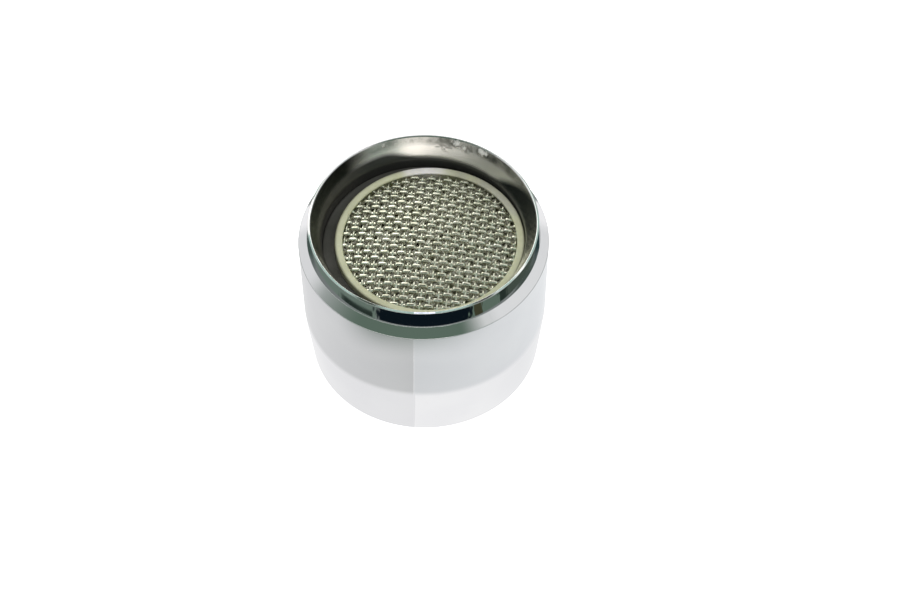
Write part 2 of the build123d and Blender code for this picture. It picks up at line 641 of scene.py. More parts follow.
def add_object(name: str, data: bpy.types.ID) -> bpy.types.Object:
    """Adds a new object to the scene.

    Args:
        name: Name of the object.
        data: Its mesh, lamp or camera.

    Returns:
        The new object.
    """
    item = bpy.data.objects.new(name, data)
    bpy.context.scene.collection.objects.link(item)
    return item


class MeshPile:
    """Collects swept shapes and turns them into one mesh object."""

    def __init__(self) -> None:
        """Starts with no points and no faces."""
        self.points: list[np.ndarray] = []
        self.runs: list[np.ndarray] = []
        self.faces: list[list[int]] = []
        self.count = 0

    def sweep(self, sections: np.ndarray, closed: bool = False) -> None:
        """Skins consecutive closed sections, with a cap at each end of an open path.

        Args:
            sections: Points in millimetres by station, corner and axis.
            closed: Whether the last station joins the first.
        """
        stations, corners = sections.shape[:2]
        here = self.count + np.arange(stations * corners).reshape(stations, corners)
        ahead = np.roll(here, -1, axis=0)
        quads = np.stack([here, np.roll(here, -1, axis=1), np.roll(ahead, -1, axis=1), ahead], axis=-1)
        spans = stations if closed else stations - 1
        self.faces += quads[:spans].reshape(-1, 4).tolist()
        if not closed:
            self.faces += [here[0, ::-1].tolist(), here[-1].tolist()]
        steps = np.linalg.norm(np.diff(sections[:, 0], axis=0), axis=1)
        along = np.concatenate([[0.0], np.cumsum(steps)])
        around = np.abs(2.0 * np.arange(corners) / corners - 1.0)
        run = np.stack(np.broadcast_arrays(along[:, None], around[None, :]), axis=-1)
        self.points.append(sections.reshape(-1, 3))
        self.runs.append(run.reshape(-1, 2))
        self.count += stations * corners

    def build(self, name: str, normals: np.ndarray | None = None) -> bpy.types.Object:
        """Makes the mesh object.

        Args:
            name: Name of the piece.
            normals: Exact normals by point, where the shape has them.

        Returns:
            The new object, linked to the scene.
        """
        mesh = mapped_mesh(name, np.concatenate(self.points), self.faces, np.concatenate(self.runs))
        mesh.shade_smooth()
        if normals is not None:
            mesh.normals_split_custom_set_from_vertices(normals.tolist())
        return add_object(name, mesh)


@dataclass(frozen=True)
class Corner:
    """A corner of a turned profile, with the radius that breaks its edge, in millimetres."""

    radius: float
    level: float
    edge: float


class TurnedProfile:
    """A closed profile whose corners are rounded, with its exact normals."""

    def __init__(self, corners: list[Corner], turn_step: float = 0.12, fewest: int = 3) -> None:
        """Rounds the corners.

        Args:
            corners: Corners with the metal on the left of the path.
            turn_step: Largest turn between two points of a round, in radians.
            fewest: Fewest points in a round.
        """
        spots = np.array([(corner.radius, corner.level) for corner in corners])
        points, normals = [], []
        for corner, spot, before, after in zip(corners, spots, np.roll(spots, 1, 0), np.roll(spots, -1, 0)):
            arrive = (spot - before) / np.linalg.norm(spot - before)
            leave = (after - spot) / np.linalg.norm(after - spot)
            turn = math.atan2(arrive[0] * leave[1] - arrive[1] * leave[0], float(arrive @ leave))
            start = spot - arrive * corner.edge * math.tan(abs(turn) / 2)
            outward = np.array([arrive[1], -arrive[0]])
            centre = start - outward * math.copysign(corner.edge, turn)
            for angle in np.linspace(0.0, turn, max(fewest, math.ceil(abs(turn) / turn_step) + 1)):
                swing = np.array([[math.cos(angle), -math.sin(angle)], [math.sin(angle), math.cos(angle)]])
                normal = swing @ outward
                points.append(centre + normal * math.copysign(corner.edge, turn))
                normals.append(normal)
        self.points = np.array(points)
        self.normals = np.array(normals)

    def turn(self, name: str, segments: int) -> bpy.types.Object:
        """Turns the profile about the Z axis.

        Args:
            name: Name of the piece.
            segments: Facets in a full turn.

        Returns:
            The new object.
        """
        angles = -np.arange(segments) * 2 * math.pi / segments
        pile = MeshPile()
        pile.sweep(self._spin(self.points, angles), closed=True)
        return pile.build(name, self._spin(self.normals, angles).reshape(-1, 3))

    @staticmethod
    def _spin(section: np.ndarray, angles: np.ndarray) -> np.ndarray:
        """Repeats a section of radius and height at each angle.

        Args:
            section: Radius and height of each point.
            angles: Angles about the Z axis in radians.

        Returns:
            Points by angle, point and axis.
        """
        across = section[None, :, 0]
        up = np.broadcast_to(section[None, :, 1], (len(angles), len(section)))
        return np.stack([across * np.cos(angles)[:, None], across * np.sin(angles)[:, None], up], axis=-1)


def round_path(radius: np.ndarray | float, angles: np.ndarray, level: np.ndarray) -> np.ndarray:
    """Lists the points of a path round the Z axis."""
    return np.stack([radius * np.cos(angles), radius * np.sin(angles), level], axis=-1)


def fix_piece(piece: bpy.types.Object, slot: Slot, material: bpy.types.Material, *nodes: str) -> None:
    """Dresses a new piece and fixes it to the part.

    Args:
        piece: The new object.
        slot: Material slot of the record; not used.
        material: Finish of the piece.
        nodes: CAD nodes that the piece stands for.
    """
    piece.data.materials.append(material)
    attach(piece, BODY)
    if nodes:
        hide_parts(*nodes)
    log.info("%s: %d faces", piece.name, len(piece.data.polygons))


def dress_node(node: str, material: bpy.types.Material, edge: float) -> None:
    """Gives a CAD node broken edges and a finish, and leaves its mesh as it is.

    Args:
        node: Name of the node.
        material: Finish of the node.
        edge: Width of the broken edges in millimetres.
    """
    least_fold = math.radians(40)
    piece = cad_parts[node]
    weld = piece.modifiers.new("weld", "WELD")
    weld.merge_threshold = 0.001 * MM
    bevel = piece.modifiers.new("broken_edges", "BEVEL")
    bevel.width = edge * MM
    bevel.segments = 3
    bevel.limit_method = "ANGLE"
    bevel.angle_limit = least_fold
    bevel.harden_normals = True
    piece.data.materials.clear()
    piece.data.materials.append(material)
    log.info("%s: CAD node with a finish", node)


@dataclass
class Housing:
    """The turned and chromed housing with its inlet thread, in millimetres.

    The shares of the thread are of its pitch. Its ridge runs out over a part of a turn at each end.
    """

    finish: ChromePlate
    segments: int = 288
    inlet_radius: float = 11.5
    inlet_edge: float = 0.12
    taper_level: float = 6.0
    taper_edge: float = 0.4
    shoulder_level: float = 15.65
    shoulder_edge: float = 0.1
    collar_foot: Span = (11.13, 16.35)
    collar_foot_edge: float = 0.06
    rim_outer_radius: float = 10.96
    crest_radius: float = 10.78
    rim_inner_radius: float = 10.68
    outer_bevel_level: float = 18.165
    inner_bevel_level: float = 18.13
    crest_edge: float = 0.05
    lip_radius: float = 9.729
    flare_level: float = 16.05
    flare_edge: float = 1.8
    seat_level: float = 13.2
    seat_edge: float = 0.06
    relief_radius: float = 11.199
    relief_edge: float = 0.08
    washer_level: float = 5.2
    washer_edge: float = 0.03
    mouth_chamfer: float = 0.15
    thread_edge: float = 0.04
    thread_radius: float = 11.0
    thread_depth: float = 0.541
    thread_pitch: float = 1.0
    thread_stations: int = 96
    thread_sink: float = 0.02
    thread_margin_share: float = 0.55
    thread_root_share: float = 0.44
    thread_crest_share: float = 0.125
    thread_runout: float = 0.3
    thread_least: float = 0.04

    def build(self) -> None:
        """Builds and dresses the shell and the thread."""
        material = self.finish.make()
        fix_piece(self.shell(), self.finish.slot, material, "housing")
        fix_piece(self.thread(), self.finish.slot, material)

    def shell(self) -> bpy.types.Object:
        """Turns the shell from one rounded profile.

        Returns:
            The new object.
        """
        low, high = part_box("housing")
        body_radius = min(high.x, high.y, -low.x, -low.y) / MM
        crest_level = high.z / MM
        corners = [
            Corner(self.thread_radius + self.mouth_chamfer, 0.0, self.thread_edge),
            Corner(self.inlet_radius, 0.0, self.inlet_edge),
            Corner(body_radius, self.taper_level, self.taper_edge),
            Corner(body_radius, self.shoulder_level, self.shoulder_edge),
            Corner(*self.collar_foot, self.collar_foot_edge),
            Corner(self.rim_outer_radius, self.outer_bevel_level, self.crest_edge),
            Corner(self.crest_radius, crest_level, self.crest_edge),
            Corner(self.rim_inner_radius, self.inner_bevel_level, self.crest_edge),
            Corner(self.lip_radius, self.flare_level, self.flare_edge),
            Corner(self.lip_radius, self.seat_level, self.seat_edge),
            Corner(self.relief_radius, self.seat_level, self.relief_edge),
            Corner(self.relief_radius, self.washer_level, self.washer_edge),
            Corner(self.thread_radius, self.washer_level, self.thread_edge),
            Corner(self.thread_radius, self.mouth_chamfer, self.thread_edge),
        ]
        return TurnedProfile(corners).turn("housing_shell", self.segments)

    def thread(self) -> bpy.types.Object:
        """Winds the ridge of the inlet thread, which runs out into the wall at both ends.

        Returns:
            The new object.
        """
        margin = self.thread_margin_share * self.thread_pitch
        start = self.mouth_chamfer + margin
        turns = (self.washer_level - start - margin) / self.thread_pitch
        share = np.arange(round(turns * self.thread_stations) + 1) / self.thread_stations
        fade = np.clip(np.minimum(share, turns - share) / self.thread_runout, self.thread_least, 1.0)
        angles = 2 * math.pi * share
        level = start + self.thread_pitch * share
        root_radius = self.thread_radius + self.thread_sink
        crest_radius = self.thread_radius - self.thread_depth * fade
        root_half = self.thread_root_share * self.thread_pitch * np.sqrt(fade)
        crest_half = np.minimum(self.thread_crest_share * self.thread_pitch, root_half)
        shape = [(crest_radius, -crest_half), (crest_radius, crest_half)]
        shape += [(root_radius, root_half), (root_radius, -root_half)]
        pile = MeshPile()
        pile.sweep(np.stack([round_path(radius, angles, level + rise) for radius, rise in shape], axis=1))
        return pile.build("inlet_thread")


@dataclass(frozen=True)
class WireGauge:
    """One set of wires in a weave, in millimetres.

    The squareness is the power of its section: 2 is an ellipse, and more is flattened. The press is how
    flat the crowns of its waves are. The stations are those of one wave's half.
    """

    strand: Strand
    pitch: float
    width: float
    height: float
    crimp: float
    squareness: float
    press: float
    sides: int
    stations: int

    def section(self) -> np.ndarray:
        """Gives the wire's section.

        Returns:
            Width and height of each point.
        """
        angles = 2 * math.pi * (np.arange(self.sides) + 0.5) / self.sides
        wide, tall = np.cos(angles), np.sin(angles)
        power = 2 / self.squareness
        return np.stack([
            self.width / 2 * np.sign(wide) * np.abs(wide) ** power,
            self.height / 2 * np.sign(tall) * np.abs(tall) ** power,
        ], axis=-1)

    def waves(self, marks: np.ndarray, crossing: float) -> tuple[np.ndarray, np.ndarray]:
        """Gives the waves of a wire that goes over and under others.

        Args:
            marks: Stations along the wire.
            crossing: Pitch of the wires that it crosses.

        Returns:
            Height and slope at each station.
        """
        phase = math.pi * marks / crossing
        pressed, most = np.tanh(self.press * np.cos(phase)), math.tanh(self.press)
        steep = -math.pi / crossing * self.press * np.sin(phase)
        return self.crimp * pressed / most, self.crimp * steep * (1 - pressed ** 2) / most


@dataclass
class WovenScreen:
    """A plain-woven wire screen that stands for one of the CAD screens, in millimetres and degrees.

    Each wire strays a little from its place, sways along its length and rolls about its own axis.
    """

    node: str
    turn: float
    seed: int
    warp: WireGauge = WireGauge(Strand.WARP, pitch=0.82, width=0.22, height=0.20, crimp=0.08,
                                squareness=2.0, press=0.8, sides=8, stations=6)
    weft: WireGauge = WireGauge(Strand.WEFT, pitch=0.71, width=0.35, height=0.20, crimp=0.13,
                                squareness=3.6, press=4.4, sides=14, stations=13)
    dome_radius: float = 45.0
    stray: float = 0.02
    sway: float = 0.015
    sway_rate: Span = (0.2, 0.5)
    roll_spread: float = 0.03
    roll: float = 0.04
    roll_rate: Span = (1.0, 2.2)
    last_phase: float = 6.0
    steepest: float = 0.9
    fewest_stations: int = 4

    def build(self, slot: Slot, material: bpy.types.Material) -> None:
        """Weaves and dresses the screen.

        Args:
            slot: Material slot of the record.
            material: Finish of the wire.
        """
        low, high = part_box(self.node)
        rim_low, rim_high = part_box("distance_ring")
        middle = (rim_low + rim_high) / 2 / MM
        radius = (rim_high.x - rim_low.x) / 2 / MM
        centre = np.array([middle.x, middle.y, (low.z + high.z) / 2 / MM])
        draw = np.random.default_rng(self.seed)
        pile = MeshPile()
        for gauge, crossing in ((self.warp, self.weft.pitch), (self.weft, self.warp.pitch)):
            self._lay(pile, gauge, crossing, radius, draw, centre)
        fix_piece(pile.build(f"{self.node}_weave"), slot, material, self.node)

    def _lay(self, pile: MeshPile, gauge: WireGauge, crossing: float, radius: float,
             draw: np.random.Generator, centre: np.ndarray) -> None:
        """Lays one set of wires.

        Args:
            pile: Mesh that the wires go into.
            gauge: The set's sizes.
            crossing: Pitch of the wires that it crosses.
            radius: Radius that the screen is cut to.
            draw: Random draws for the small unevenness of the weave.
            centre: Middle of the screen.
        """
        weft = gauge.strand is Strand.WEFT
        heading = math.radians(self.turn + (0.0 if weft else 90.0))
        run = np.array([math.cos(heading), math.sin(heading), 0.0])
        across = np.array([-math.sin(heading), math.cos(heading), 0.0])
        up = np.array([0.0, 0.0, 1.0])
        section = gauge.section()
        count = int(radius / gauge.pitch - 0.5)
        for number in range(-count, count + 1):
            aside = number * gauge.pitch + draw.uniform(-self.stray, self.stray)
            half = math.sqrt((radius - gauge.width / 2) ** 2 - aside ** 2)
            stations = max(self.fewest_stations, round(2 * half / crossing * gauge.stations))
            marks = np.linspace(-half, half, stations)
            side = (1 if weft else -1) * (-1) ** number
            height, slope = gauge.waves(marks, crossing)
            drift = aside + self._sway(draw, marks, self.sway, self.sway_rate)
            rise = (radius ** 2 - marks ** 2 - aside ** 2) / (2 * self.dome_radius)
            lift = side * height + rise
            path = centre + np.outer(marks, run) + np.outer(drift, across) + np.outer(lift, up)
            lean = np.clip(side * slope - marks / self.dome_radius, -self.steepest, self.steepest)
            tip = up - lean[:, None] * run
            tip /= np.linalg.norm(tip, axis=1, keepdims=True)
            roll = draw.normal(0.0, self.roll_spread) + self._sway(draw, marks, self.roll, self.roll_rate)
            level = across + np.outer(roll - aside / self.dome_radius, up)
            flat = section[None, :, :1] * level[:, None, :]
            tall = section[None, :, 1:] * (tip - np.outer(roll, across))[:, None, :]
            pile.sweep(path[:, None, :] + flat + tall)

    def _sway(self, draw: np.random.Generator, marks: np.ndarray, amount: float, rate: Span) -> np.ndarray:
        """Draws a slow wave along a wire."""
        return amount * np.sin(marks * draw.uniform(*rate) + draw.uniform(0.0, self.last_phase))


@dataclass
class GapShadeFill:
    """A dark fill between the sleeve and the housing, whose dark tone is painted shade in the gap, in
    millimetres and degrees.
    """

    finish: Moulding
    nose_radius: float = 9.15
    bore_radius: float = 9.70
    foot_level: float = 13.23
    top_level: float = 14.8
    dip: float = 0.15
    widest: float = 180.0
    half_turn: float = 140.0
    stations: int = 141
    top_points: int = 7

    def build(self) -> None:
        """Builds and dresses the dark crescent of painted shade, which is widest where the insert lies away.
        """
        low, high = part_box("distance_ring")
        offset = (low.x + high.x) / 2 / MM
        angles = np.radians(self.widest + np.linspace(-self.half_turn, self.half_turn, self.stations))
        nose = offset * np.cos(angles) + np.sqrt(self.nose_radius ** 2 - (offset * np.sin(angles)) ** 2)
        shape = [(0.0, self.foot_level)]
        for share in np.linspace(0, 1, self.top_points):
            shape.append((share, self.top_level - 4 * self.dip * share * (1 - share)))
        shape.append((1.0, self.foot_level))
        sections = [
            round_path(nose + share * (self.bore_radius - nose), angles, np.full_like(nose, level))
            for share, level in shape
        ]
        pile = MeshPile()
        pile.sweep(np.stack(sections, axis=1))
        fix_piece(pile.build("gap_shade_fill"), self.finish.slot, self.finish.make())


@dataclass
class Insert:
    """The plastic insert with its pack of woven screens and the dark gap fill beside it, in millimetres."""

    cream: Moulding
    white: Moulding
    wire: DrawnWire
    lightened_wire: DrawnWire
    screens: tuple[WovenScreen, ...]
    gap_fill: GapShadeFill
    sleeve_edge: float = 0.13
    plate_edge: float = 0.08

    def build(self) -> None:
        """Dresses the moulded nodes, weaves the screens with a lighter wire below the first as painted light
        in the shaded gaps, and adds the dark gap fill.
        """
        cream = self.cream.make()
        dress_node("insert_sleeve", cream, self.sleeve_edge)
        dress_node("distance_ring", cream, self.plate_edge)
        dress_node("jet_disc", cream, self.plate_edge)
        dress_node("inlet_strainer", self.white.make(), self.plate_edge)
        # The second wire is a lighter copy that paints light into the shaded gaps.
        wire, lightened_wire = self.wire.make(), self.lightened_wire.make()
        for number, screen in enumerate(self.screens):
            screen.build(self.wire.slot, lightened_wire if number else wire)
        self.gap_fill.build()


@dataclass
class Washer:
    """The flat rubber washer under the spout's end, in millimetres."""

    rubber: Moulding
    edge: float = 0.12

    def build(self) -> None:
        """Dresses the washer's node."""
        dress_node("sealing_washer", self.rubber.make(), self.edge)


@dataclass(frozen=True)
class StudioCard:
    """A plain card that only reflections see, in millimetres and degrees.

    Azimuth 0 is the camera's side and positive to the right. The reach is a span of elevations in the
    sky, or of radii on the table. The soft ends and edges are shares of the spread and of the reach.
    """

    name: str
    place: CardPlace
    tone: Colour
    spread: Span
    reach: Span
    end_tone: Colour | None = None
    soft_ends: Span = (0.12, 0.12)
    soft_edges: Span = (0.12, 0.12)
    strength: float = 1.0
    distance: float = 420.0
    forward: float = 0.0
    lift: float = 0.05
    ragged: float = 0.0
    ragged_scale: float = 700.0
    columns: int = 49
    rows: int = 17

    def build(self) -> None:
        """Sets the card up."""
        share_u, share_v = np.meshgrid(np.linspace(0, 1, self.columns), np.linspace(0, 1, self.rows))
        turn = np.radians(self.spread[0] + share_u * (self.spread[1] - self.spread[0]))
        along = self.reach[0] + share_v * (self.reach[1] - self.reach[0])
        if self.place is CardPlace.SKY:
            flat = self.distance * np.cos(np.radians(along))
            height = self.distance * np.sin(np.radians(along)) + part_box("housing")[1].z / MM
        else:
            flat = along
            height = np.full_like(along, self.lift)
        points = np.stack([flat * np.sin(turn), -flat * np.cos(turn) - self.forward, height], axis=-1)
        index = np.arange(self.rows * self.columns).reshape(self.rows, self.columns)
        faces = np.stack([index[:-1, :-1], index[:-1, 1:], index[1:, 1:], index[1:, :-1]], axis=-1)
        shares = np.stack([share_u, share_v], axis=-1).reshape(-1, 2)
        mesh = mapped_mesh(self.name, points.reshape(-1, 3), faces.reshape(-1, 4).tolist(), shares)
        mesh.materials.append(self._tone_material())
        card = add_object(self.name, mesh)
        card.visible_camera = False
        card.visible_diffuse = False
        card.visible_shadow = False

    def _tone_material(self) -> bpy.types.Material:
        """Gives the card its tone, which fades out at its edges.

        Returns:
            The material.
        """
        material, sheet = new_paper(self.name)
        share = sheet.add("SeparateXYZ", {0: sheet.add("UVMap").outputs["UV"]})
        along = share.outputs["X"]
        if self.ragged:
            noise = sheet.noise(sheet.position(), self.ragged_scale, detail=2.0)
            along = sheet.maths("MULTIPLY_ADD", sheet.maths("SUBTRACT", noise, 0.5), self.ragged, along)
        shown = None
        for value, (first, last) in ((along, self.soft_ends), (share.outputs["Y"], self.soft_edges)):
            for limits in ((0.0, first), (1.0, 1.0 - last)):
                if limits[0] == limits[1]:
                    continue
                mask = sheet.ramp(value, limits)
                shown = mask if shown is None else sheet.maths("MULTIPLY", shown, mask)
        tone = opaque(self.tone)
        if self.end_tone:
            tone = sheet.blend(share.outputs["X"], tone, opaque(self.end_tone))
        glow = sheet.add("Emission", {"Color": tone, "Strength": self.strength})
        clear = sheet.add("BsdfTransparent")
        mix = sheet.add("MixShader", {0: shown, 1: clear.outputs[0], 2: glow.outputs[0]})
        sheet.add("OutputMaterial", {"Surface": mix.outputs[0]})
        return material


@dataclass(frozen=True)
class SoftLamp:
    """A soft box that looks at the part, in millimetres and degrees."""

    name: str
    azimuth: float
    elevation: float
    distance: float
    size: Span
    brightness: float
    tint: Colour = WHITE
    reflected: bool = True

    def build(self) -> None:
        """Sets the lamp up, with the brightness that its face shows in a mirror."""
        lamp = bpy.data.lights.new(self.name, "AREA")
        lamp.shape = "RECTANGLE"
        lamp.size, lamp.size_y = self.size[0] * MM, self.size[1] * MM
        lamp.color = self.tint
        lamp.energy = self.brightness * math.pi * lamp.size * lamp.size_y
        turn, tilt = math.radians(self.azimuth), math.radians(self.elevation)
        back = Vector((math.cos(tilt) * math.sin(turn), -math.cos(tilt) * math.cos(turn), math.sin(tilt)))
        body = add_object(self.name, lamp)
        body.location = Vector((0, 0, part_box("housing")[1].z)) + back * self.distance * MM
        body.rotation_mode = "QUATERNION"
        body.rotation_quaternion = back.to_track_quat("Z", "Y")
        body.visible_glossy = self.reflected
        body.visible_camera = False


@dataclass(frozen=True)
class PhotoCamera:
    """The camera of the photograph, fitted to the ellipses of its edges, in millimetres and degrees."""

    image_size: tuple[int, int] = (900, 599)
    crest_pixel: Span = (423.3, 220.5)
    pixels_per_mm: float = 10.56
    distance: float = 180.0
    elevation: float = 50.7
    roll: float = -1.14
    sensor: float = 36.0
    nearest: float = 10.0
    farthest: float = 20000.0

    def build(self) -> None:
        """Places the camera by the pixel that the middle of the crest falls on."""
        tilt, roll = math.radians(self.elevation), math.radians(self.roll)
        crest = Vector((0, 0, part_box("housing")[1].z))
        back = Vector((0, -math.cos(tilt), math.sin(tilt)))
        level, upright = Vector((1, 0, 0)), Vector((0, math.sin(tilt), math.cos(tilt)))
        right = level * math.cos(roll) + upright * math.sin(roll)
        up = upright * math.cos(roll) - level * math.sin(roll)
        aside = (self.image_size[0] / 2 - self.crest_pixel[0]) / self.pixels_per_mm * MM
        below = (self.image_size[1] / 2 - self.crest_pixel[1]) / self.pixels_per_mm * MM
        location = crest + back * self.distance * MM
        axis_z = (location - (crest + right * aside - up * below)).normalized()
        axis_x = (right - axis_z * right.dot(axis_z)).normalized()
        turned = Matrix((axis_x, axis_z.cross(axis_x), axis_z)).transposed().to_4x4()
        lens = bpy.data.cameras.new("photo_camera")
        lens.sensor_width = self.sensor
        lens.lens = self.pixels_per_mm * self.distance * self.sensor / self.image_size[0]
        lens.clip_start, lens.clip_end = self.nearest * MM, self.farthest * MM
        camera = add_object("photo_camera", lens)
        camera.matrix_world = Matrix.Translation(location) @ turned
        bpy.context.scene.camera = camera


@dataclass
class Studio:
    """White table and backdrop, studio cards, soft boxes and the camera, in millimetres."""

    cards: tuple[StudioCard, ...]
    lamps: tuple[SoftLamp, ...]
    camera: PhotoCamera
    floor_radius: float = 3000.0
    floor_sides: int = 96
    floor_white: float = 0.78
    paper: float = 0.82
    ambient: float = 0.66

    def build(self) -> None:
        """Sets the whole studio up."""
        bpy.context.scene.view_settings.view_transform = "Standard"
        self._backdrop()
        self._floor()
        for item in (*self.cards, *self.lamps):
            item.build()
        self.camera.build()

    @staticmethod
    def _shown_white(sheet: Sheet) -> Socket:
        """Tells where the camera, a mirror or a glass sees the white itself.

        Args:
            sheet: Node sheet of the floor or the world.

        Returns:
            Socket that is 1 for those rays and 0 for the others.
        """
        path = sheet.add("LightPath")
        seen = sheet.maths("MAXIMUM", path.outputs["Is Camera Ray"], path.outputs["Is Glossy Ray"])
        return sheet.maths("MAXIMUM", seen, path.outputs["Is Transmission Ray"])

    def _backdrop(self) -> None:
        """Makes the white world, which lights the part only softly."""
        world = bpy.data.worlds.new("studio")
        bpy.context.scene.world = world
        world.use_nodes = True
        world.node_tree.nodes.clear()
        sheet = Sheet(world.node_tree)
        soft = sheet.add("Background", {"Color": opaque(WHITE), "Strength": self.ambient})
        white = sheet.add("Background", {"Color": opaque(WHITE), "Strength": 1.0})
        mix = sheet.add("MixShader", {0: self._shown_white(sheet), 1: soft.outputs[0], 2: white.outputs[0]})
        sheet.add("OutputWorld", {"Surface": mix.outputs[0]})

    def _floor(self) -> None:
        """Makes the white floor, which keeps the part's shadow."""
        ring = np.linspace(0, 2 * math.pi, self.floor_sides, endpoint=False)
        rim = round_path(self.floor_radius * MM, ring, np.zeros_like(ring))
        mesh = bpy.data.meshes.new("floor")
        mesh.from_pydata(rim.tolist(), [], [list(range(self.floor_sides))])
        material, sheet = new_paper("floor")
        paper = sheet.add("BsdfDiffuse", {"Color": opaque((self.paper,) * 3)})
        base = sheet.add("Emission", {"Strength": self.floor_white})
        white = sheet.add("Emission", {"Strength": 1.0})
        lit = sheet.add("AddShader", {0: paper.outputs[0], 1: base.outputs[0]})
        camera_ray = sheet.add("LightPath").outputs["Is Camera Ray"]
        shown = sheet.add("MixShader", {0: camera_ray, 1: white.outputs[0], 2: lit.outputs[0]})
        mix = sheet.add("MixShader", {0: self._shown_white(sheet), 1: paper.outputs[0], 2: shown.outputs[0]})
        sheet.add("OutputMaterial", {"Surface": mix.outputs[0]})
        mesh.materials.append(material)
        add_object("floor", mesh)


GREY_GREEN: Colour = (0.115, 0.165, 0.13)
PALE_GREEN: Colour = (0.33, 0.42, 0.37)
MINT: Colour = (0.42, 0.59, 0.525)
SIDE_GREY: Colour = (0.225, 0.25, 0.24)
DEEP_GREEN: Colour = (0.06, 0.08, 0.065)
TEAL: Colour = (0.02, 0.045, 0.045)
POND: Colour = (0.07, 0.105, 0.09)
MOSS: Colour = (0.075, 0.10, 0.085)
SAGE: Colour = (0.17, 0.22, 0.19)
MEADOW: Colour = (0.14, 0.19, 0.155)
NIGHT: Colour = (0.004, 0.008, 0.012)
STREAK: Colour = (0.022, 0.034, 0.028)
IVORY: Colour = (1.0, 0.98, 0.93)
BROWN: Colour = (0.052, 0.054, 0.03)
DIM: Colour = (0.055, 0.058, 0.048)
STONE: Colour = (0.44, 0.44, 0.42)
PEARL: Colour = (0.80, 0.81, 0.81)
WINDOW_SHADE: Colour = (0.2, 0.195, 0.185)
WINDOW_LIGHT: Colour = (1.3, 1.27, 1.22)


def sky_cards() -> tuple[StudioCard, ...]:
    """Lists the cards that stand round the part and over it.

    Returns:
        The cards, of which a nearer one hides a farther one.
    """
    sky = CardPlace.SKY
    pearl = {"soft_ends": (0.1, 0.1), "soft_edges": (0.05, 0.2), "distance": 430.0}
    mint = {"soft_ends": (0.2, 0.2), "soft_edges": (0.25, 0.2), "distance": 415.0}
    return (
        StudioCard("camera_side", sky, GREY_GREEN, (-136.0, 66.0), (18.0, 68.0),
                   soft_ends=(0.4, 0.18), soft_edges=(0.2, 0.2)),
        StudioCard("side_left", sky, PEARL, (-136.0, -60.0), (-4.0, 52.0), **pearl),
        StudioCard("side_right", sky, PEARL, (50.0, 136.0), (-4.0, 52.0), **pearl),
        StudioCard("high_left", sky, MINT, (-150.0, -78.0), (34.0, 72.0), **mint),
        StudioCard("high_right", sky, MINT, (78.0, 150.0), (34.0, 72.0), **mint),
        StudioCard("low_left", sky, MINT, (-154.0, -108.0), (20.0, 42.0), **mint),
        StudioCard("low_right", sky, MINT, (108.0, 154.0), (20.0, 42.0), **mint),
        StudioCard("edge_left", sky, POND, (-131.0, -110.0), (-7.0, 2.0),
                   soft_ends=(0.15, 0.3), soft_edges=(0.0, 0.3), distance=425.0),
        StudioCard("ceiling", sky, DIM, (-180.0, 180.0), (57.0, 90.0),
                   soft_ends=(0.0, 0.0), soft_edges=(0.12, 0.0), distance=440.0),
        StudioCard("ceiling_front", sky, MINT, (-100.0, 100.0), (64.0, 90.0),
                   soft_ends=(0.2, 0.2), soft_edges=(0.2, 0.0), distance=425.0),
        StudioCard("back_wall", sky, STONE, (125.0, 235.0), (26.0, 62.0),
                   soft_ends=(0.15, 0.15), soft_edges=(0.2, 0.35)),
        StudioCard("back_right", sky, IVORY, (140.0, 180.0), (36.0, 60.0),
                   soft_ends=(0.3, 0.2), soft_edges=(0.3, 0.3), strength=0.75, distance=416.0),
        StudioCard("flare_glow", sky, IVORY, (137.0, 224.0), (46.0, 51.5),
                   soft_ends=(0.14, 0.2), soft_edges=(0.2, 0.2), strength=2.5, distance=300.0),
        StudioCard("right_window", sky, IVORY, (92.0, 146.0), (42.0, 53.0),
                   soft_ends=(0.4, 0.2), soft_edges=(0.4, 0.4), strength=1.5, distance=412.0),
        StudioCard("low_window", sky, IVORY, (166.0, 240.0), (16.0, 31.0),
                   soft_ends=(0.2, 0.2), soft_edges=(0.25, 0.1), strength=1.6, distance=410.0),
        StudioCard("back_low", sky, PALE_GREEN, (127.0, 233.0), (9.0, 36.0),
                   soft_ends=(0.05, 0.05), soft_edges=(0.15, 0.3)),
        StudioCard("front_window", sky, WINDOW_SHADE, (-66.0, 24.0), (2.2, 12.0), end_tone=WINDOW_LIGHT,
                   soft_ends=(0.2, 0.12), soft_edges=(0.2, 0.35), strength=3.0),
        StudioCard("front_wall", sky, PALE_GREEN, (-100.0, 90.0), (-6.0, 24.0),
                   soft_ends=(0.2, 0.2), soft_edges=(0.1, 0.3), distance=435.0),
    )


